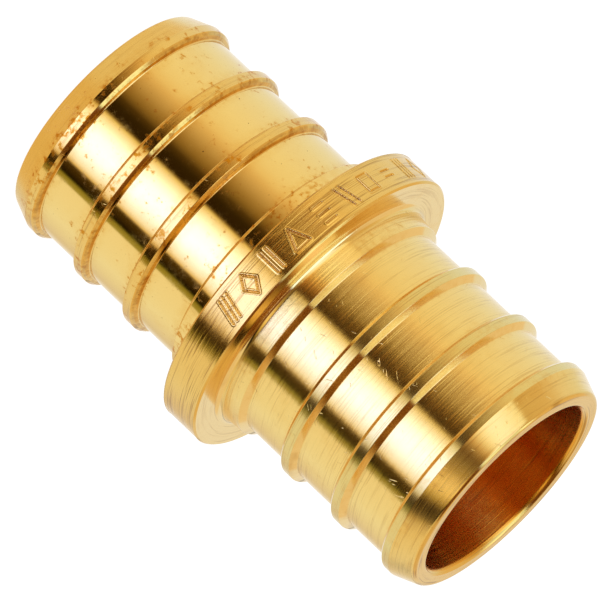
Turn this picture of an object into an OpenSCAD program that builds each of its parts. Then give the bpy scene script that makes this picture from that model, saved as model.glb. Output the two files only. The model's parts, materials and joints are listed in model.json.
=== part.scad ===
// Insert coupling for plastic water tube, turned from one brass bar.
// The tube axis is Z and the origin is the middle of the collar.
// Two equal barbed ends point along +Z and -Z, with a stop collar between them
// and one straight bore from end to end.

/* [Body] */
// Overall length, end face to end face
overall_len = 35.8; // [35.4:0.1:40]
// Diameter of the through bore
bore_d = 13.5; // [12.5:0.1:14]
// Chamfer at each bore mouth
mouth_chamfer = 0.25; // [0.1:0.05:0.4]

/* [Barbs] */
// Diameter over the rib crests, where the tube grips
rib_d = 17.2; // [17:0.05:17.6]
// Diameter of the plain lands between the ribs
land_d = 16.2; // [16:0.05:16.5]
// Distance from the centre to the middle of the first rib
first_rib_z = 7.11; // [6.8:0.01:7.4]
// Distance from the middle of one rib to the next
rib_pitch = 4.42; // [4.2:0.01:4.5]
// Ribs on each end, the last of them at the nose
rib_count = 3; // [2:1:3]
// Width of a rib's flat crest
rib_crest_w = 0.66; // [0.4:0.02:1]
// Width of the last rib's crest
end_crest_w = 0.56; // [0.3:0.02:0.8]
// Length along the tube of the slope on a rib's outer side
rib_slope_w = 0.27; // [0.05:0.01:0.4]
// Chamfer on the edge of each crest that faces the collar
rib_chamfer = 0.2; // [0.1:0.02:0.4]
// Length along the tube of the steep side below that chamfer
rib_step_w = 0.08; // [0.05:0.01:0.3]

/* [Nose] */
// Diameter that the nose taper reaches at the end face, before rounding
nose_d = 15.9; // [15.5:0.1:16.2]
// Radius of the rounded nose edge
nose_round = 0.35; // [0.1:0.05:0.45]

/* [Collar] */
// Diameter of the stop collar
collar_d = 21.8; // [20:0.1:24]
// Width of the stop collar along the tube
collar_w = 2.84; // [2.4:0.02:3]
// Bevel on the collar's two outer edges
collar_bevel = 0.12; // [0.05:0.01:0.3]
// Diameter of the shoulder at its outer edge
shoulder_d = 17.2; // [17:0.05:17.4]
// Diameter of the shoulder where it meets the collar
shoulder_root_d = 17.48; // [17.4:0.02:17.8]
// Distance from the centre to the shoulder's outer edge
shoulder_z = 2.97; // [2.8:0.01:3.4]
// Radius in the corner between the collar and the shoulder
root_round = 0.45; // [0.1:0.05:0.6]

/* [Stamped marks] */
// Depth of the marks in the collar's rim
mark_depth = 0.1; // [0.05:0.01:0.2]
// Width of one stroke of a mark
stroke_w = 0.16; // [0.1:0.02:0.3]
// Height of a mark across the rim
mark_h = 1.6; // [1:0.1:1.7]
// Distance from one mark to the next around the rim
mark_step = 2; // [1.8:0.1:2.2]
// Direction of the first mark, seen from +Z; the row runs clockwise from it
mark_start_deg = -71; // [-180:1:180]

/* [Hidden] */

half_len = overall_len / 2;
bore_r = bore_d / 2;
rib_r = rib_d / 2;
land_r = land_d / 2;
nose_r = nose_d / 2;
collar_r = collar_d / 2;
collar_z = collar_w / 2;
shoulder_r = shoulder_d / 2;
shoulder_root_r = shoulder_root_d / 2;
chamfer_r = rib_r - rib_chamfer;
last_rib_z = first_rib_z + (rib_count - 1) * rib_pitch;
taper_z = last_rib_z + end_crest_w / 2;
taper_deg = atan2(half_len - taper_z, rib_r - nose_r);
nose_turn_deg = 90 - taper_deg;
nose_reach = nose_round * tan((90 - nose_turn_deg) / 2);
arc_steps = 6;
circle_fn = 180;
eps = 0.05;

// Points on an arc about a centre, from angle a0 to a1
function arc(centre, r, a0, a1) = [
    for (i = [0 : arc_steps])
        let (a = a0 + (a1 - a0) * i / arc_steps)
            [centre.x + r * cos(a), centre.y + r * sin(a)]
];

// The side of a rib that faces the collar, from the crest's edge at z to the land, as [radius, z]
function inner_side(z) = [
    [rib_r, z],
    [chamfer_r, z - rib_chamfer],
    [land_r, z - rib_chamfer - rib_step_w]
];

// A rib's outline from its outer foot to its inner foot
function rib(z) = concat(
    [
        [land_r, z + rib_crest_w / 2 + rib_slope_w],
        [rib_r, z + rib_crest_w / 2]
    ],
    inner_side(z - rib_crest_w / 2)
);

// The last rib has the nose taper outside it, so it has only its inner side
function nose() = concat(
    arc([nose_r - nose_reach, half_len - nose_round], nose_round, 90, nose_turn_deg),
    [[rib_r, taper_z]],
    inner_side(taper_z - end_crest_w)
);

function shoulder() = [
    [land_r, shoulder_z + rib_slope_w],
    [shoulder_r, shoulder_z]
];

function collar() = concat(
    arc([shoulder_root_r + root_round, collar_z + root_round], root_round, 180, 270),
    [
        [collar_r - collar_bevel, collar_z],
        [collar_r, collar_z - collar_bevel]
    ]
);

// The upper half of the wall's section, from the bore mouth out to the collar's rim
function half_outline() = concat(
    [
        [bore_r, half_len - mouth_chamfer],
        [bore_r + mouth_chamfer, half_len]
    ],
    nose(),
    [for (i = [rib_count - 2 : -1 : 0]) each rib(first_rib_z + i * rib_pitch)],
    shoulder(),
    collar()
);

function mirrored(points) = [
    for (i = [len(points) - 1 : -1 : 0])
        [points[i].x, -points[i].y]
];

// One stroke in the rim: where it starts around and across the rim, and where it ends
module stroke(from, to) {
    reach = norm(to - from);
    lean = atan2(to.y - from.y, to.x - from.x);
    mid_deg = (from.x + to.x) / 2 / collar_r * 180 / PI;
    rotate([0, 0, mid_deg])
        translate([collar_r - mark_depth, 0, (from.y + to.y) / 2])
            rotate([lean, 0, 0])
                translate([0, -(reach + stroke_w) / 2, -stroke_w / 2])
                    cube([2 * mark_depth + eps, reach + stroke_w, stroke_w]);
}

// A closed figure from corners given in half mark heights
module figure(corners, place) {
    for (i = [0 : len(corners) - 1])
        stroke(
            corners[i] * mark_h / 2 + [place * mark_step, 0],
            corners[(i + 1) % len(corners)] * mark_h / 2 + [place * mark_step, 0]
        );
}

// Strokes side by side, each leaning by its own amount, in half mark heights
module bars(offsets, lean, place) {
    for (x = offsets)
        stroke(
            [place * mark_step + (x - lean) * mark_h / 2, -mark_h / 2],
            [place * mark_step + (x + lean) * mark_h / 2, mark_h / 2]
        );
}

module rungs(heights, place) {
    for (y = heights)
        stroke(
            [place * mark_step - mark_h / 4, y * mark_h / 2],
            [place * mark_step + mark_h / 4, y * mark_h / 2]
        );
}

// Plain signs in a row around the rim, with no letters among them
module marks() {
    diamond = [[0, -1], [0.7, 0], [0, 1], [-0.7, 0]];
    triangle = [[-0.75, -0.9], [0.75, -0.9], [0, 0.9]];
    box = [[-0.55, -0.8], [0.55, -0.8], [0.55, 0.8], [-0.55, 0.8]];
    bars([-0.45, 0, 0.45], 0.25, 0);
    figure(diamond, 1);
    bars([-0.3, 0.3], 0, 2);
    figure(triangle, 3);
    rungs([-0.8, 0, 0.8], 4.25);
    bars([-0.3, 0.3], -0.25, 5.25);
    figure(box, 6.25);
    rungs([-0.3, 0.3], 7.25);
    bars([-0.45, 0, 0.45], 0, 8.25);
    figure(diamond, 9.25);
}

module coupling_body() {
    color([0.84, 0.64, 0.27])
        difference() {
            rotate_extrude($fn = circle_fn)
                polygon(concat(half_outline(), mirrored(half_outline())));
            rotate([0, 0, mark_start_deg])
                rotate([180, 0, 0])
                    marks();
        }
}

coupling_body();
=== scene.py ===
"""A turned brass insert coupling: one revolved mesh with stamped signs, worn brass, a studio and a camera."""

import json
import math

import bpy
import numpy as np
from mathutils import Matrix, Vector


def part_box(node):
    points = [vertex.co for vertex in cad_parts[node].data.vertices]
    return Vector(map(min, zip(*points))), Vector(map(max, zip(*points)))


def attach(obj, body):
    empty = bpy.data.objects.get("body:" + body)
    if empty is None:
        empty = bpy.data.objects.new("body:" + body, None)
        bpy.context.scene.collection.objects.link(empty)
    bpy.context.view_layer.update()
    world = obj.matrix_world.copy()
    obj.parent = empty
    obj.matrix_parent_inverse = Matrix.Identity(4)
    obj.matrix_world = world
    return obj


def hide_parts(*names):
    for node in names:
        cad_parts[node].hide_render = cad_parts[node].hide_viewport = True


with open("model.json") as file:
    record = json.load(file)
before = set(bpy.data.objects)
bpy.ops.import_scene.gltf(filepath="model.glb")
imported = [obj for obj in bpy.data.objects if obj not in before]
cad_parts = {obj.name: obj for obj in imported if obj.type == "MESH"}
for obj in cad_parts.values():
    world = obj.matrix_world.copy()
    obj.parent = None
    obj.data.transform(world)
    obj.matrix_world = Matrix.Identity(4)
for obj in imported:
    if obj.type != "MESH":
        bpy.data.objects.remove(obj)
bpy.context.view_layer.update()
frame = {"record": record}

MM = 0.001
TURN = 2 * math.pi

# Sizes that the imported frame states
low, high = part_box("coupling_body")
mounts = {m["name"]: m for m in frame["record"]["mounts"]}
HALF_LEN = high.z
COLLAR_R = high.x
COLLAR_Z = mounts["tube_stop_a"]["pos_m"][2]
BORE_R = mounts["through_bore"]["dims"]["r_mm"] * MM
RIB_R = mounts["tube_end_a"]["dims"]["r_mm"] * MM
END_RIB_Z = mounts["tube_end_a"]["pos_m"][2]
END_CREST_W = mounts["tube_end_a"]["dims"]["length_mm"] * MM

# Sizes of the turned outline between those
RIB_DEPTH = 0.5 * MM
LAND_R = RIB_R - RIB_DEPTH
FIRST_RIB_Z = 7.11 * MM
RIB_PITCH = (END_RIB_Z - FIRST_RIB_Z) / 2
CREST_W = 0.66 * MM
SLOPE_W = 0.27 * MM
RIB_CHAMFER = 0.2 * MM
STEP_W = 0.08 * MM
SHOULDER_Z = 2.97 * MM
SHOULDER_TAPER = 0.14 * MM
NOSE_R = 7.95 * MM
MOUTH_CHAMFER = 0.25 * MM
COLLAR_BEVEL = 0.12 * MM

# Radii that round the corners of that outline
EDGE_ROUND = 0.05 * MM
OUTER_FOOT_ROUND = 0.06 * MM
INNER_FOOT_ROUND = 0.08 * MM
LAST_CREST_ROUND = 0.12 * MM
NOSE_ROUND = 0.35 * MM
LIP_ROUND = 0.15 * MM
MOUTH_ROUND = 0.3 * MM
ROOT_ROUND = 0.45 * MM
BEVEL_ROUND = 0.04 * MM

# Distance within which two radii count as the same
SLACK = 0.001 * MM


# ---------------------------------------------------------------- outline

def turned(v):
    """The vector a quarter turn to the left of v, which points out of the metal along the outline."""
    return np.array([-v[1], v[0]])


def unit(v):
    """The vector of length 1 along v."""
    return v / np.linalg.norm(v)


def rounded(corners):
    """Points and normals along an outline.

    Each corner is (radius, z, rounding, steps on its arc, steps to the next corner).
    """
    points = [np.array(c[:2]) for c in corners]
    path = [points[0]]
    normals = [turned(unit(points[1] - points[0]))]

    def run(end, normal, steps):
        start = path[-1]
        for k in range(1, steps + 1):
            path.append(start + (end - start) * k / steps)
            normals.append(normal)

    for i in range(1, len(points) - 1):
        _, _, radius, arc_steps, _ = corners[i]
        way_in, way_out = unit(points[i] - points[i - 1]), unit(points[i + 1] - points[i])
        bend = math.copysign(1, way_in[0] * way_out[1] - way_in[1] * way_out[0])
        turn = math.acos(max(-1.0, min(1.0, float(way_in @ way_out))))
        end = points[i] - way_in * radius * math.tan(turn / 2)
        run(end, turned(way_in), corners[i - 1][4])
        centre = end + turned(way_in) * radius * bend
        for k in range(1, arc_steps + 1):
            a = turn * bend * k / arc_steps
            spin = np.array([[math.cos(a), -math.sin(a)], [math.sin(a), math.cos(a)]])
            normal = spin @ turned(way_in)
            path.append(centre - normal * radius * bend)
            normals.append(normal)
    run(points[-1], turned(unit(points[-1] - points[-2])), corners[-2][4])
    return np.array(path), np.array(normals)


def inner_side(z):
    """The corners of the side of a rib that faces the collar, from the crest's edge at z to the land."""
    return [
        (RIB_R, z, EDGE_ROUND, 2, 1),
        (RIB_R - RIB_CHAMFER, z - RIB_CHAMFER, EDGE_ROUND, 2, 1),
        (LAND_R, z - RIB_CHAMFER - STEP_W, INNER_FOOT_ROUND, 3, 2),
    ]


def rib(z):
    """The corners of a rib between two lands, from its outer foot to its inner one."""
    return [
        (LAND_R, z + CREST_W / 2 + SLOPE_W, OUTER_FOOT_ROUND, 2, 1),
        (RIB_R, z + CREST_W / 2, EDGE_ROUND, 2, 2),
        *inner_side(z - CREST_W / 2),
    ]


def half_corners():
    """The wall's section on the +Z side: up the bore, over the end face, down the ribs and out to the rim."""
    crest_out = END_RIB_Z + END_CREST_W / 2
    crest_in = END_RIB_Z - END_CREST_W / 2
    return [
        (BORE_R, 0, 0, 0, 6),
        (BORE_R, HALF_LEN - MOUTH_CHAMFER, MOUTH_ROUND, 2, 1),
        (BORE_R + MOUTH_CHAMFER, HALF_LEN, LIP_ROUND, 2, 1),
        (NOSE_R, HALF_LEN, NOSE_ROUND, 4, 3),
        (RIB_R, crest_out, LAST_CREST_ROUND, 2, 2),
        *inner_side(crest_in),
        *rib(FIRST_RIB_Z + RIB_PITCH),
        *rib(FIRST_RIB_Z),
        (LAND_R, SHOULDER_Z + SLOPE_W, OUTER_FOOT_ROUND, 2, 1),
        (RIB_R, SHOULDER_Z, EDGE_ROUND, 2, 2),
        (RIB_R + SHOULDER_TAPER, COLLAR_Z, ROOT_ROUND, 6, 2),
        (COLLAR_R - COLLAR_BEVEL, COLLAR_Z, BEVEL_ROUND, 2, 1),
        (COLLAR_R, COLLAR_Z - COLLAR_BEVEL, BEVEL_ROUND, 2, 6),
        (COLLAR_R, 0, 0, 0, 0),
    ]


def full_outline():
    """The whole closed section, as points and outward normals, once round from the middle of the bore."""
    path, normals = rounded(half_corners())
    flip = np.array([1, -1])
    return np.vstack([path, path[-2:0:-1] * flip]), np.vstack([normals, normals[-2:0:-1] * flip])


# ---------------------------------------------------------------- stamped signs

MARK_DEPTH = 0.1 * MM
STROKE_W = 0.16 * MM
MARK_H = 1.6 * MM
MARK_STEP = 2 * MM
MARK_START = math.radians(-71)
LIP_W = 0.1 * MM
LIP_H = 0.018 * MM
# Distance to each side over which the slope of a sign is measured
PROBE = 0.01 * MM


def figure(corners, place):
    """The strokes of a closed figure, from corners in half mark heights."""
    ends = [(place * MARK_STEP + x * MARK_H / 2, y * MARK_H / 2) for x, y in corners]
    return list(zip(ends, ends[1:] + ends[:1]))


def bars(offsets, lean, place):
    """Strokes side by side across the rim."""
    return [
        ((place * MARK_STEP + (x - lean) * MARK_H / 2, -MARK_H / 2),
         (place * MARK_STEP + (x + lean) * MARK_H / 2, MARK_H / 2))
        for x in offsets
    ]


def rungs(heights, place):
    """Short strokes along the rim, one above the other."""
    return [
        ((place * MARK_STEP - MARK_H / 4, y * MARK_H / 2),
         (place * MARK_STEP + MARK_H / 4, y * MARK_H / 2))
        for y in heights
    ]


def mark_strokes():
    """Plain signs in a row around the rim, with no letters among them."""
    diamond = [(0, -1), (0.7, 0), (0, 1), (-0.7, 0)]
    triangle = [(-0.75, -0.9), (0.75, -0.9), (0, 0.9)]
    box = [(-0.55, -0.8), (0.55, -0.8), (0.55, 0.8), (-0.55, 0.8)]
    return [
        *bars([-0.45, 0, 0.45], 0.25, 0),
        *figure(diamond, 1),
        *bars([-0.3, 0.3], 0, 2),
        *figure(triangle, 3),
        *rungs([-0.8, 0, 0.8], 4.25),
        *bars([-0.3, 0.3], -0.25, 5.25),
        *figure(box, 6.25),
        *rungs([-0.3, 0.3], 7.25),
        *bars([-0.45, 0, 0.45], 0, 8.25),
        *figure(diamond, 9.25),
    ]


def along_row(angle):
    """The turn from the row's start to an angle, the way the row runs, between -90 and 270 degrees."""
    turn = (MARK_START - angle) % TURN
    return np.where(turn > 0.75 * TURN, turn - TURN, turn)


STROKES = mark_strokes()
SIGNS_END = (max(x for stroke in STROKES for x, _ in stroke) + MARK_STEP / 4) / COLLAR_R
SIGNS_START = (min(x for stroke in STROKES for x, _ in stroke) - MARK_STEP / 4) / COLLAR_R


def sign_height(along, across):
    """Height of the rim's metal at places along the row and across it: grooves with a low lip beside them."""
    nearest = np.full(along.shape, np.inf)
    for (x0, y0), (x1, y1) in STROKES:
        dx, dy = x1 - x0, y1 - y0
        t = np.clip(((along - x0) * dx + (across - y0) * dy) / (dx * dx + dy * dy), 0, 1)
        nearest = np.minimum(nearest, np.hypot(along - x0 - t * dx, across - y0 - t * dy))
    groove = np.clip(1 - nearest / (STROKE_W / 2), 0, 1)
    groove = groove * groove * (3 - 2 * groove)
    lip = np.exp(-((nearest - STROKE_W / 2 - LIP_W / 2) / (LIP_W / 2)) ** 2)
    return LIP_H * lip * (1 - groove) - MARK_DEPTH * groove


# ---------------------------------------------------------------- mesh

# Cells round the axis, and into how many parts a cell is split where the signs are
COLUMNS = 380
SPLIT_ROWS = 5
SPLIT_COLS = 4
FINISHES = ["polished", "turned", "crest", "worn", "faced", "satin", "rim", "bore"]
# How far above the land the metal counts as part of a rib
RIB_MARGIN = 0.05 * MM
# How far a normal has to point along the tube, up or down, on an end face and on a rib's or collar's side
END_TILT = 0.6
SIDE_TILT = 0.5


def finish_of(radius, z, facing_z):
    """Which finish the metal has at a place in the section, from where it lies and how its normal tilts."""
    if radius < BORE_R + MOUTH_CHAMFER / 2:
        return "bore"
    if radius > COLLAR_R - COLLAR_BEVEL:
        return "rim"
    if abs(z) > HALF_LEN - MOUTH_CHAMFER and abs(facing_z) > END_TILT:
        return "rim"
    if abs(z) > END_RIB_Z + END_CREST_W / 2:
        return "turned" if z > 0 else "satin"
    on_rib = radius > LAND_R + RIB_MARGIN and abs(z) > SHOULDER_Z + SLOPE_W
    if on_rib and z < 0:
        return "worn"
    if abs(facing_z) > SIDE_TILT:
        return "faced"
    if z < 0:
        return "polished"
    return "crest" if on_rib else "turned"


def in_signs(column):
    """Whether a column of cells lies in the sector that holds the signs."""
    return SIGNS_START < along_row((column + 0.5) / COLUMNS * TURN) < SIGNS_END


def on_rim(radius, z):
    """Whether a place lies on the rim between its two bevels, before the signs are pressed in."""
    return (radius > COLLAR_R - SLACK) & (abs(z) < COLLAR_Z - COLLAR_BEVEL)


def lattice(path):
    """The faces of the revolved section as keys (fine row, fine column), and each face's row in the section.

    Cells that hold signs are split, and their neighbours take the extra points into their own outline.
    """
    rows = len(path)
    flat = [on_rim(*path[i]) and path[(i + 1) % rows][0] > COLLAR_R - SLACK for i in range(rows)]
    signs = [in_signs(j) for j in range(COLUMNS)]

    def fine(i, j):
        return flat[i % rows] and signs[j % COLUMNS]

    def key(a, b):
        return a % (rows * SPLIT_ROWS), b % (COLUMNS * SPLIT_COLS)

    faces = []
    face_rows = []
    for i in range(rows):
        for j in range(COLUMNS):
            top, left = i * SPLIT_ROWS, j * SPLIT_COLS
            if fine(i, j):
                for a in range(top, top + SPLIT_ROWS):
                    for b in range(left, left + SPLIT_COLS):
                        faces.append([key(a, b), key(a + 1, b), key(a + 1, b + 1), key(a, b + 1)])
                        face_rows.append(i)
                continue
            down = range(1, SPLIT_ROWS)
            over = range(1, SPLIT_COLS)
            ring = [key(top, left)]
            ring += [key(top + a, left) for a in down if fine(i, j - 1)]
            ring += [key(top + SPLIT_ROWS, left)]
            ring += [key(top + SPLIT_ROWS, left + b) for b in over if fine(i + 1, j)]
            ring += [key(top + SPLIT_ROWS, left + SPLIT_COLS)]
            ring += [key(top + a, left + SPLIT_COLS) for a in reversed(down) if fine(i, j + 1)]
            ring += [key(top, left + SPLIT_COLS)]
            ring += [key(top, left + b) for b in reversed(over) if fine(i - 1, j)]
            faces.append(ring)
            face_rows.append(i)
    return faces, face_rows


def place_points(keys, path, normals):
    """Where each lattice key lies, its outward normal and its angle."""
    rows = len(path)
    row, part = np.divmod(keys[:, 0], SPLIT_ROWS)
    part = (part / SPLIT_ROWS)[:, None]
    section = path[row] * (1 - part) + path[(row + 1) % rows] * part
    facing = normals[row] * (1 - part) + normals[(row + 1) % rows] * part
    angle = keys[:, 1] / (COLUMNS * SPLIT_COLS) * TURN
    spin = np.stack([np.cos(angle), np.sin(angle)], 1)
    points = np.column_stack([section[:, :1] * spin, section[:, 1]])
    out = np.column_stack([facing[:, :1] * spin, facing[:, 1]])
    return points, out, angle


def stamp(points, out, angle):
    """Press the signs into the rim, and tilt the normals with the slopes that this makes."""
    near = on_rim(np.hypot(points[:, 0], points[:, 1]), points[:, 2])
    along, across = along_row(angle[near]) * COLLAR_R, -points[near, 2]
    height = sign_height(along, across)
    slope_along = (sign_height(along + PROBE, across) - sign_height(along - PROBE, across)) / (2 * PROBE)
    slope_across = (sign_height(along, across + PROBE) - sign_height(along, across - PROBE)) / (2 * PROBE)
    spin = out[near].copy()
    round_way = np.column_stack([spin[:, 1], -spin[:, 0], np.zeros(len(spin))])
    points[near] += spin * (height - LIP_H)[:, None]
    tilted = spin - round_way * slope_along[:, None]
    tilted[:, 2] += slope_across
    out[near] = tilted / np.linalg.norm(tilted, axis=1)[:, None]


def build_body():
    """The coupling as one closed mesh, with a material index for each finish."""
    path, normals = full_outline()
    faces, face_rows = lattice(path)
    index = {}
    loops = [[index.setdefault(k, len(index)) for k in face] for face in faces]
    points, out, angle = place_points(np.array(list(index)), path, normals)
    stamp(points, out, angle)
    mesh = bpy.data.meshes.new("coupling")
    mesh.from_pydata(points.tolist(), [], loops)
    mesh.shade_smooth()
    middles = (path + np.roll(path, -1, 0)) / 2
    tilts = (normals + np.roll(normals, -1, 0))[:, 1] / 2
    finishes = [FINISHES.index(finish_of(radius, z, tilt)) for (radius, z), tilt in zip(middles, tilts)]
    mesh.polygons.foreach_set("material_index", [finishes[row] for row in face_rows])
    mesh.normals_split_custom_set_from_vertices(out.tolist())
    piece = bpy.data.objects.new("coupling", mesh)
    bpy.context.scene.collection.objects.link(piece)
    return piece


# ---------------------------------------------------------------- node helpers

class Graph:
    """Short calls for making and linking shader nodes in one tree."""

    def __init__(self, tree):
        self.tree = tree

    def put(self, value, socket):
        """Set a socket to a number or colour, or link an output to it."""
        if isinstance(value, (int, float)):
            socket.default_value = value
        elif isinstance(value, tuple):
            socket.default_value = (*value, 1)[:len(socket.default_value)]
        else:
            self.tree.links.new(value, socket)

    def add(self, kind, **settings):
        """A new node with these settings."""
        made = self.tree.nodes.new("ShaderNode" + kind)
        for key, value in settings.items():
            setattr(made, key, value)
        return made

    def math(self, operation, *values):
        """The result of one operation on numbers or outputs."""
        made = self.add("Math", operation=operation)
        for value, socket in zip(values, made.inputs):
            self.put(value, socket)
        return made.outputs[0]

    def step(self, value, start, end):
        """0 before start, 1 after end and smooth between them, either way round."""
        made = self.add("MapRange", interpolation_type="SMOOTHSTEP")
        self.put(value, made.inputs["Value"])
        low_end, high_end = min(start, end), max(start, end)
        made.inputs["From Min"].default_value = low_end
        made.inputs["From Max"].default_value = high_end
        made.inputs["To Min"].default_value = 0 if start < end else 1
        made.inputs["To Max"].default_value = 1 if start < end else 0
        return made.outputs[0]

    def mix(self, factor, a, b, blend="MIX"):
        """A colour between a and b; a Mix node keeps its colour sockets at places 6, 7 and 2."""
        made = self.add("Mix", data_type="RGBA", blend_type=blend)
        self.put(factor, made.inputs[0])
        self.put(a, made.inputs[6])
        self.put(b, made.inputs[7])
        return made.outputs[2]

    def vector(self, x, y, z):
        """A vector from three numbers or outputs."""
        made = self.add("CombineXYZ")
        for value, socket in zip((x, y, z), made.inputs):
            self.put(value, socket)
        return made.outputs[0]

    def split(self, vector):
        """The three parts of a vector."""
        made = self.add("SeparateXYZ")
        self.put(vector, made.inputs[0])
        return made.outputs

    def scaled(self, vector, factor):
        """A vector times a number."""
        made = self.add("VectorMath", operation="SCALE")
        self.put(vector, made.inputs[0])
        made.inputs["Scale"].default_value = factor
        return made.outputs[0]

    def noise(self, vector, scale, detail=2, roughness=0.5):
        """Soft noise, mostly between 0.3 and 0.7."""
        made = self.add("TexNoise")
        self.put(vector, made.inputs["Vector"])
        made.inputs["Scale"].default_value = scale
        made.inputs["Detail"].default_value = detail
        made.inputs["Roughness"].default_value = roughness
        return made.outputs[0]


# ---------------------------------------------------------------- brass

BRASS = (0.88, 0.62, 0.21)
# Paler brass for the faced sides: a painted highlight that lightens their double reflections
PALE_LIT_BRASS = (0.91, 0.69, 0.32)
# Darker, greener brass for the near crests: painted shade for the darker light they mirror
OLIVE_SHADED_BRASS = (0.76, 0.58, 0.21)
# Tarnish colour, also used for the painted reflection tint beside the ribs on the -Z half
TARNISH_AND_REFLECTION = (0.82, 0.52, 0.14)
# Deeper orange brass for the bore: painted shade and the colour of reflections between its walls
DEEP_SHADED_BRASS = (0.84, 0.42, 0.06)
STAIN = (0.62, 0.25, 0.014)
# Brown of the thin dirty lines, and of the painted shade with some dirt in the rib steps
GRIME_AND_SHADE = (0.50, 0.28, 0.07)
PIT = (0.20, 0.11, 0.03)

# How each finish looks: its colour (darkened for the crest and bore finishes as painted shade, paled for the
# faced finish as a painted highlight), base roughness and its stretch along the tube axis, depth of the
# turning lines in mm, how much tarnish lies on it, how much the lines show as colour, how many specks and
# nicks it has, and how much cloudy smudges roughen it
LOOKS = {
    "polished": dict(base=BRASS, rough=0.07, stretch=0.0, lines=0.0003, tarnish=0.0,
                     streaks=0.0, specks=1.0, nicks=0.0, smudges=0.1),
    "turned": dict(base=BRASS, rough=0.17, stretch=0.9, lines=0.007, tarnish=0.0,
                   streaks=0.35, specks=0.15, nicks=1.0, smudges=0.0),
    "crest": dict(base=OLIVE_SHADED_BRASS, rough=0.21, stretch=0.7, lines=0.004, tarnish=0.0,
                  streaks=0.5, specks=0.1, nicks=1.5, smudges=0.0),
    "worn": dict(base=TARNISH_AND_REFLECTION, rough=0.12, stretch=0.8, lines=0.003, tarnish=0.1,
                 streaks=0.6, specks=1.0, nicks=0.5, smudges=0.05),
    "faced": dict(base=PALE_LIT_BRASS, rough=0.1, stretch=0.5, lines=0.003, tarnish=0.1,
                  streaks=0.4, specks=0.05, nicks=0.3, smudges=0.0),
    "satin": dict(base=BRASS, rough=0.2, stretch=0.6, lines=0.003, tarnish=0.2,
                  streaks=0.25, specks=1.0, nicks=0.3, smudges=0.1),
    "rim": dict(base=TARNISH_AND_REFLECTION, rough=0.17, stretch=0.8, lines=0.014, tarnish=0.2,
                streaks=1.0, specks=0.3, nicks=0.3, smudges=0.0),
    "bore": dict(base=DEEP_SHADED_BRASS, rough=0.2, stretch=1.0, lines=0.01, tarnish=0.0,
                 streaks=0.7, specks=0.1, nicks=0.0, smudges=0.0),
}

# How many features of each noise come in a mm
FINE_RINGS, FINE_WANDER = 13, 0.25
BROAD_RINGS, BROAD_WANDER = 3.1, 0.12
BLOTCHES = 0.45
GRAINS = 2.2
DOTS = 5.5
SMEARS = 0.9
CLOUDS = 1.1
NICK_WIDTHS, NICK_LENGTHS = 7, 0.8
NICK_PATCHES = 0.8

# How much a mm outwards counts for in the rings, against a mm along the tube
RINGS_PER_RADIUS = 0.6

# Where each kind of wear, the painted reflection and the painted shade set in, as (none here, full there):
# distances in mm, or values of a noise
AT_RIB = (1.05, 0.5)
# Painted reflection: a tarnish-coloured tint beside the ribs on the -Z half, standing in for the ribs
# mirrored at the highlights' edges
PAINTED_REFLECTION_FROM_RIB = (1.4, 0.6)
PAINTED_REFLECTION_Z = (0, -1)
PATCHES = (0.5, 0.7)
TARNISH_AND_REFLECTION_GRAIN = (0.25, 0.6)
THIN_FINE = (0.5, 0.38)
THIN_BROAD = (0.62, 0.4)
STAINS = (0.6, 0.76)
STAIN_CLUSTERS = (0.42, 0.55)
# Painted shade with some dirt on the steps between lands and crests, heavier towards -Z
SHADE_AND_DIRT_ABOVE_FOOT = (0.03, 0.12)
SHADE_AND_DIRT_BELOW_CREST = (0.02, 0.12)
SHADE_AND_DIRT_BEFORE_END = (0, 0.3)
SHADE_AND_DIRT_Z = (2, -2)
SHADE_AND_DIRT_GRAIN = (0.55, 0.9)
PITS = (0.74, 0.78)
SMUDGES = (0.48, 0.75)
NICK_CUTS = (0.72, 0.79)
NICK_CLUSTERS = (0.48, 0.55)

# How strongly each kind of wear, the painted reflection and the painted shade act
# Strength of the painted reflection tint beside the ribs
PAINTED_REFLECTION_AMOUNT = 0.6
PATCH_AMOUNT = 0.3
PATCHES_AT_RIB = 0.12
STAINS_AT_RIB = 0.11
# Strength and unevenness of the painted shade with some dirt in the steps
SHADE_AND_DIRT_BLOTCH = 0.5
SHADE_AND_DIRT_AMOUNT = 0.7
STAIN_ROUGH = 0.15
ROUGH_FLOOR = 0.75
ROUGH_SMEAR = 0.5
BROAD_BUMP = 2.0
NICK_DEPTH = 0.01 * MM
NICK_SLANTS = (0.45, -0.8)


class Surface:
    """Where a point of the metal lies, in mm, and the noises that the kinds of wear, the painted reflection
    and the painted shade share.
    """

    def __init__(self, g):
        self.place = g.scaled(g.add("TexCoord").outputs["Object"], 1 / MM)
        self.x, self.y, self.z = g.split(self.place)
        squares = g.math("ADD", g.math("MULTIPLY", self.x, self.x), g.math("MULTIPLY", self.y, self.y))
        self.radius = g.math("SQRT", squares)
        self.fine = self.rings(g, FINE_RINGS, FINE_WANDER)
        self.broad = self.rings(g, BROAD_RINGS, BROAD_WANDER)
        self.blotch = g.noise(self.place, BLOTCHES, 3)
        self.grain = g.noise(self.place, GRAINS, 4, 0.6)
        # The five pitches added keep the value above zero, and each rib's middle then folds to zero
        pitch, first = RIB_PITCH / MM, FIRST_RIB_Z / MM
        shifted = g.math("ADD", g.math("ABSOLUTE", self.z), 5 * pitch - first)
        self.from_rib = g.math("PINGPONG", shifted, pitch / 2)
        self.at_rib = g.step(self.from_rib, *AT_RIB)

    def rings(self, g, per_mm, wander):
        """Noise in rings round the axis, which wander a little on the way round."""
        along = g.math("ADD", self.z, g.math("MULTIPLY", self.radius, RINGS_PER_RADIUS))
        across = [g.math("MULTIPLY", side, wander) for side in (self.x, self.y)]
        return g.noise(g.vector(g.math("MULTIPLY", along, per_mm), *across), 1, 2)


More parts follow.
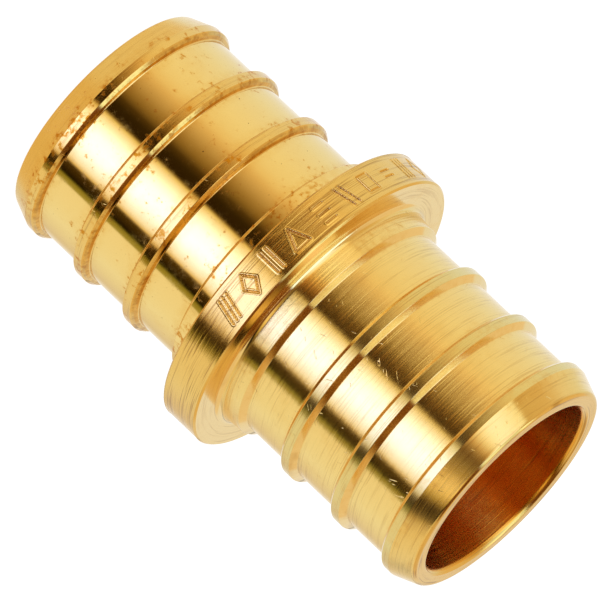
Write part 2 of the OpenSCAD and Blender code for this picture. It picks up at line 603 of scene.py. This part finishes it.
def tarnished(g, at, base, tarnish, streaks):
    """The finish's colour with tarnish in large patches, more of them near the ribs, a painted reflection of
    the ribs as a tarnish-coloured tint beside them on the -Z half, and thin dirty lines.
    """
    # Painted reflection: a tarnish-coloured tint beside the ribs on the -Z half, where the highlights' edges
    # mirror the ribs
    painted_reflection = g.math("MULTIPLY", g.step(at.from_rib, *PAINTED_REFLECTION_FROM_RIB), g.step(at.z, *PAINTED_REFLECTION_Z))
    painted_reflection = g.math("MULTIPLY", painted_reflection, PAINTED_REFLECTION_AMOUNT)
    patches = g.step(g.math("ADD", at.blotch, g.math("MULTIPLY", at.at_rib, PATCHES_AT_RIB)), *PATCHES)
    amount = g.math("MAXIMUM", g.math("MAXIMUM", g.math("MULTIPLY", patches, PATCH_AMOUNT), painted_reflection), tarnish)
    colour = g.mix(g.math("MULTIPLY", amount, g.step(at.grain, *TARNISH_AND_REFLECTION_GRAIN)), base, TARNISH_AND_REFLECTION)
    thin = g.math("MULTIPLY", g.step(at.fine, *THIN_FINE), g.step(at.broad, *THIN_BROAD))
    return g.mix(g.math("MULTIPLY", thin, streaks), colour, GRIME_AND_SHADE)


def stains(g, at, specks):
    """How much orange stain lies at a place: clusters beside the ribs."""
    stain = g.step(g.math("ADD", at.grain, g.math("MULTIPLY", at.at_rib, STAINS_AT_RIB)), *STAINS)
    return g.math("MULTIPLY", g.math("MULTIPLY", stain, specks), g.step(at.blotch, *STAIN_CLUSTERS))


def step_shade_and_dirt(g, at):
    """How much brown sits at a place as painted shade with some dirt: in the steps between the lands and the
    crests, mostly at -Z.
    """
    foot, crest, end = LAND_R / MM, RIB_R / MM, END_RIB_Z / MM
    above_foot = g.step(at.radius, *(foot + height for height in SHADE_AND_DIRT_ABOVE_FOOT))
    below_crest = g.step(at.radius, *(crest - depth for depth in SHADE_AND_DIRT_BELOW_CREST))
    before_end = g.step(g.math("ABSOLUTE", at.z), *(end - distance for distance in SHADE_AND_DIRT_BEFORE_END))
    in_step = g.math("MULTIPLY", g.math("MULTIPLY", above_foot, below_crest), before_end)
    in_step = g.math("MULTIPLY", in_step, g.step(at.z, *SHADE_AND_DIRT_Z))
    uneven = g.math("ADD", at.grain, g.math("MULTIPLY", at.blotch, SHADE_AND_DIRT_BLOTCH))
    return g.math("MULTIPLY", g.math("MULTIPLY", in_step, g.step(uneven, *SHADE_AND_DIRT_GRAIN)), SHADE_AND_DIRT_AMOUNT)


def dulled(g, at, rough, stain, smudges):
    """The roughness: uneven all over, and higher in smudges and on stains."""
    smears = g.math("MULTIPLY", g.noise(at.place, SMEARS, 3), 0.5)
    smears = g.math("ADD", smears, g.math("MULTIPLY", at.grain, 0.5))
    cloudy = g.math("MULTIPLY", g.step(g.noise(at.place, CLOUDS, 4, 0.7), *SMUDGES), smudges)
    spots = g.math("ADD", cloudy, g.math("MULTIPLY", stain, STAIN_ROUGH))
    uneven = g.math("ADD", g.math("MULTIPLY", smears, rough * ROUGH_SMEAR), spots)
    return g.math("ADD", uneven, rough * ROUGH_FLOOR)


def turning_lines(g, at, depth):
    """The normal with turning lines of a depth in mm."""
    bump = g.add("Bump")
    bump.inputs["Distance"].default_value = depth * MM
    g.put(g.math("ADD", at.fine, g.math("MULTIPLY", at.broad, BROAD_BUMP)), bump.inputs["Height"])
    return bump.outputs[0]


def nicked(g, at, normal, slant, amount):
    """The normal with short nicks that run along the tube at a slant, in clusters."""
    around = g.math("ADD", at.x, g.math("MULTIPLY", at.z, slant))
    ahead = g.math("SUBTRACT", at.z, g.math("MULTIPLY", at.x, slant))
    stretched = g.vector(g.math("MULTIPLY", around, NICK_WIDTHS), g.math("MULTIPLY", ahead, NICK_LENGTHS),
                         g.math("MULTIPLY", at.y, NICK_LENGTHS))
    clusters = g.step(g.noise(at.place, NICK_PATCHES, 1), *NICK_CLUSTERS)
    cut = g.math("MULTIPLY", g.step(g.noise(stretched, 1, 1), *NICK_CUTS), clusters)
    nick = g.add("Bump", invert=True)
    nick.inputs["Distance"].default_value = amount * NICK_DEPTH
    g.put(cut, nick.inputs["Height"])
    g.put(normal, nick.inputs["Normal"])
    return nick.outputs[0]


def brass(name, base, rough, stretch, lines, tarnish, streaks, specks, nicks, smudges):
    """Brass with turning lines round the axis, tarnish, a painted reflection tint beside the ribs, stains,
    painted shade with some dirt in the steps, pits and nicks.
    """
    material = bpy.data.materials.new(name + "_brass")
    material.use_nodes = True
    g = Graph(material.node_tree)
    shader = material.node_tree.nodes["Principled BSDF"]
    at = Surface(g)
    stain = stains(g, at, specks)
    colour = tarnished(g, at, base, tarnish, streaks)
    colour = g.mix(stain, colour, STAIN)
    # Painted shade, with some dirt, darkens the steps between the lands and the crests
    colour = g.mix(step_shade_and_dirt(g, at), colour, GRIME_AND_SHADE)
    pits = g.math("MULTIPLY", g.step(g.noise(at.place, DOTS, 2), *PITS), specks)
    colour = g.mix(pits, colour, PIT)
    g.put(colour, shader.inputs["Base Color"])
    g.put(dulled(g, at, rough, stain, smudges), shader.inputs["Roughness"])
    shader.inputs["Metallic"].default_value = 1
    shader.inputs["Anisotropic"].default_value = stretch
    # A quarter turn from the tangent puts the stretch along the tube
    shader.inputs["Anisotropic Rotation"].default_value = 0.25
    g.put(g.add("Tangent", direction_type="RADIAL", axis="Z").outputs[0], shader.inputs["Tangent"])
    normal = turning_lines(g, at, lines)
    if nicks:
        for slant in NICK_SLANTS:
            normal = nicked(g, at, normal, slant, nicks)
    g.put(normal, shader.inputs["Normal"])
    return material


# ---------------------------------------------------------------- studio

CAMERA_DISTANCE = 0.545
CAMERA_ELEVATION = math.radians(16.7)
CAMERA_ROLL = math.radians(133.42)
VIEW_WIDTH = 38.16 * MM
AIM_RIGHT = 0.112 * MM
AIM_UP = 0.007 * MM
NEAR_CLIP = 0.01
FAR_CLIP = 20


def build_camera():
    """A long lens at the photo's viewing angle, rolled so that the tube axis lies as in the photo."""
    back = Vector((0, -math.cos(CAMERA_ELEVATION), math.sin(CAMERA_ELEVATION)))
    upright = back.to_track_quat("Z", "Y").to_matrix()
    turned_frame = upright @ Matrix.Rotation(CAMERA_ROLL, 3, "Z")
    camera = bpy.data.objects.new("camera", bpy.data.cameras.new("camera"))
    camera.data.lens = camera.data.sensor_width * CAMERA_DISTANCE / VIEW_WIDTH
    camera.data.clip_start = NEAR_CLIP
    camera.data.clip_end = FAR_CLIP
    place = back * CAMERA_DISTANCE + turned_frame @ Vector((AIM_RIGHT, AIM_UP, 0))
    camera.matrix_world = Matrix.Translation(place) @ turned_frame.to_4x4()
    bpy.context.scene.collection.objects.link(camera)
    bpy.context.scene.camera = camera


# The light round the object as (degrees right of the camera, red, green, blue). These three tables aren't
# a design: many of their values follow the light that a scratch script worked out by dividing the photo's
# colours by those of an earlier render, and the others were then changed by hand against sampled colours
# What the lands and crests mirror
LOW_BAND = [
    (-180, 1.0, 1.0, 1.0), (-150, 0.92, 1.0, 1.1), (-126, 0.94, 1.02, 1.12), (-100, 0.97, 0.98, 0.96),
    (-80, 1.0, 0.97, 0.83), (-66, 0.98, 0.9, 0.69), (-57, 0.95, 0.8, 0.53), (-50, 0.84, 0.63, 0.36),
    (-32, 0.42, 0.28, 0.11), (-25, 0.27, 0.17, 0.05), (-18, 0.08, 0.045, 0.01), (-12, 0.035, 0.02, 0.003),
    (-2, 0.025, 0.012, 0.001), (-0.5, 0.3, 0.19, 0.05), (1, 0.95, 0.8, 0.4), (7, 1.3, 1.35, 1.6),
    (13, 1.6, 1.85, 3.0), (20, 1.8, 2.1, 4.2), (30, 1.8, 2.15, 4.7), (37, 1.7, 2.0, 4.3),
    (45, 1.35, 1.55, 2.8), (51, 1.15, 1.2, 1.6), (55, 0.85, 0.66, 0.35), (56.5, 0.08, 0.045, 0.005),
    (68, 0.008, 0.004, 0), (70.2, 0.3, 0.27, 0.05), (74.5, 0.42, 0.38, 0.1), (76, 1.0, 0.98, 0.9),
    (118, 0.98, 1.03, 1.05), (134, 0.9, 0.9, 0.83), (150, 0.8, 0.74, 0.6), (180, 1.0, 1.0, 1.0),
]
# What the collar's flat side and the shoulder mirror
MIDDLE_BAND = [
    (-180, 0.9, 0.88, 0.8), (-140, 0.86, 0.88, 0.76), (-112, 0.91, 0.86, 0.75), (-88, 0.8, 0.62, 0.36),
    (-62, 0.78, 0.6, 0.32), (-59.5, 1.15, 1.05, 0.75), (-48, 1.35, 1.3, 1.05), (-36, 1.45, 1.45, 1.2),
    (-25, 1.4, 1.25, 0.85), (-18, 1.2, 0.8, 0.32), (-12, 0.65, 0.33, 0.1), (-6, 0.22, 0.1, 0.025),
    (-1, 0.05, 0.02, 0.005), (5, 0.03, 0.01, 0.001), (20, 0.06, 0.03, 0.006), (34, 0.14, 0.08, 0.02),
    (50, 0.2, 0.14, 0.06), (64, 0.25, 0.18, 0.08), (76, 0.55, 0.42, 0.26), (90, 0.9, 0.8, 0.6),
    (118, 0.93, 0.88, 0.75), (180, 0.9, 0.88, 0.8),
]
# What the nose taper mirrors
HIGH_BAND = [
    (-180, 0.9, 0.74, 0.48), (-112, 0.9, 0.74, 0.48),
    (-88, 0.77, 0.57, 0.31), (-72, 0.75, 0.56, 0.29), (-61, 0.67, 0.5, 0.24), (-59.5, 1.1, 1.2, 1.2),
    (-46, 1.25, 1.3, 1.6), (-38, 1.35, 1.4, 1.9), (-30, 1.35, 1.38, 1.8), (-24, 1.2, 1.25, 1.4),
    (-18, 1.0, 0.95, 0.8), (-12, 0.75, 0.55, 0.3), (-6, 0.38, 0.25, 0.11), (0, 0.2, 0.12, 0.05),
    (7, 0.27, 0.19, 0.08), (19, 0.55, 0.41, 0.16), (26, 0.92, 0.73, 0.38), (35, 1.12, 0.92, 0.54),
    (42, 1.05, 0.84, 0.42), (49, 0.64, 0.48, 0.16), (54, 0.2, 0.13, 0.035), (58, 0.02, 0.01, 0.001),
    (70, 0.008, 0.005, 0.001), (73, 0.15, 0.11, 0.03), (77, 0.6, 0.48, 0.22), (83, 0.92, 0.81, 0.59),
    (88, 0.92, 0.8, 0.55), (104, 0.9, 0.74, 0.48), (180, 0.9, 0.74, 0.48),
]
# What the bands are divided by, since a colour ramp holds no value above 1
BRIGHTEST = 5.0

# Light straight above and below, to the left and to the right, in parts of BRIGHTEST
CAP_LEFT, CAP_RIGHT = (0.26, 0.34, 0.43), (0.045, 0.018, 0.005)
GROUND_LEFT, GROUND_RIGHT = (0.18, 0.155, 0.105), (0.172, 0.13, 0.065)
CAP_SEAM = (-0.02, 0.02)
GROUND_SEAM = (-0.3, 0.0)
BLACK, WHITE = (0.0, 0.0, 0.0), (1.0, 1.0, 1.0)

# Heights, as the sine of the elevation, over which each light sets in, as (none here, full there)
LOW_BELOW = (0.04, -0.04)
MIDDLE_ABOVE = (-0.16, -0.12)
HIGH_ABOVE = (0.3, 0.34)
CAP_ABOVE = (0.82, 0.86)
GROUND_BELOW = (-0.5, -0.62)
# How much higher the middle band starts on the right
MIDDLE_RISE = 0.16


def band(g, stops, place):
    """The light of one band at a place from 0 to 1 round the object."""
    made = g.add("ValToRGB")
    ramp = made.color_ramp
    g.put(place, made.inputs[0])
    while len(ramp.elements) < len(stops):
        ramp.elements.new(0.5)
    for element, (degrees, *light) in zip(ramp.elements, stops):
        element.position = degrees / 360 + 0.5
        element.color = (*(value / BRIGHTEST for value in light), 1)
    return made.outputs[0]


def studio_light(g):
    """The light from each direction: three bands round the object, a cap above them and the ground below."""
    x, y, z = g.split(g.add("TexCoord").outputs["Generated"])
    right = g.math("ARCTAN2", x, g.math("MULTIPLY", y, -1.0))
    place = g.math("ADD", g.math("DIVIDE", right, TURN), 0.5)
    low_light = g.mix(g.step(z, *LOW_BELOW), BLACK, band(g, LOW_BAND, place))
    lean = g.math("SUBTRACT", z, g.math("MULTIPLY", g.step(x, *CAP_SEAM), MIDDLE_RISE))
    middle_light = g.mix(g.step(lean, *MIDDLE_ABOVE), BLACK, band(g, MIDDLE_BAND, place))
    light = g.mix(1.0, low_light, middle_light, "LIGHTEN")
    light = g.mix(g.step(z, *HIGH_ABOVE), light, band(g, HIGH_BAND, place))
    light = g.mix(g.step(z, *CAP_ABOVE), light, g.mix(g.step(x, *CAP_SEAM), CAP_LEFT, CAP_RIGHT))
    ground = g.mix(g.step(x, *GROUND_SEAM), GROUND_LEFT, GROUND_RIGHT)
    return g.mix(g.step(z, *GROUND_BELOW), light, ground)


def build_world():
    """A world that lights the metal with the studio, and that the camera sees as plain white."""
    world = bpy.data.worlds.new("studio")
    bpy.context.scene.world = world
    world.use_nodes = True
    world.node_tree.nodes.clear()
    g = Graph(world.node_tree)
    background = g.add("Background")
    g.put(studio_light(g), background.inputs["Color"])
    g.put(BRIGHTEST, background.inputs["Strength"])
    plain = g.add("Background")
    g.put(WHITE, plain.inputs["Color"])
    shown = g.add("MixShader")
    g.put(g.add("LightPath").outputs["Is Camera Ray"], shown.inputs[0])
    g.put(background.outputs[0], shown.inputs[1])
    g.put(plain.outputs[0], shown.inputs[2])
    g.put(shown.outputs[0], g.add("OutputWorld").inputs["Surface"])


FLOOR_REACH = 4.0
FLOOR_GAP = 0.02 * MM
FLOOR_GREY = (0.1, 0.1, 0.1)
FLOOR_ROUGH = 0.9
FLOOR_GLOW = 1.0


def build_floor():
    """A plain pale floor just below the lower end face, which the metal doesn't mirror."""
    mesh = bpy.data.meshes.new("floor")
    corners = [(-1, -1), (1, -1), (1, 1), (-1, 1)]
    height = low.z - FLOOR_GAP
    mesh.from_pydata([(x * FLOOR_REACH, y * FLOOR_REACH, height) for x, y in corners], [], [(0, 1, 2, 3)])
    floor = bpy.data.objects.new("floor", mesh)
    bpy.context.scene.collection.objects.link(floor)
    material = bpy.data.materials.new("floor")
    material.use_nodes = True
    shader = material.node_tree.nodes["Principled BSDF"]
    shader.inputs["Base Color"].default_value = (*FLOOR_GREY, 1)
    shader.inputs["Roughness"].default_value = FLOOR_ROUGH
    shader.inputs["Emission Color"].default_value = (*WHITE, 1)
    shader.inputs["Emission Strength"].default_value = FLOOR_GLOW
    mesh.materials.append(material)
    floor.visible_glossy = False
    floor.visible_shadow = False


# Enough reflections for the grooves between the ribs
BOUNCES = 16

piece = build_body()
for finish in FINISHES:
    piece.data.materials.append(brass(finish, **LOOKS[finish]))
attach(piece, "root")
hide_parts("coupling_body")
build_camera()
build_world()
build_floor()
bpy.context.scene.view_settings.view_transform = "Standard"
bpy.context.scene.cycles.glossy_bounces = BOUNCES
bpy.context.scene.cycles.max_bounces = BOUNCES
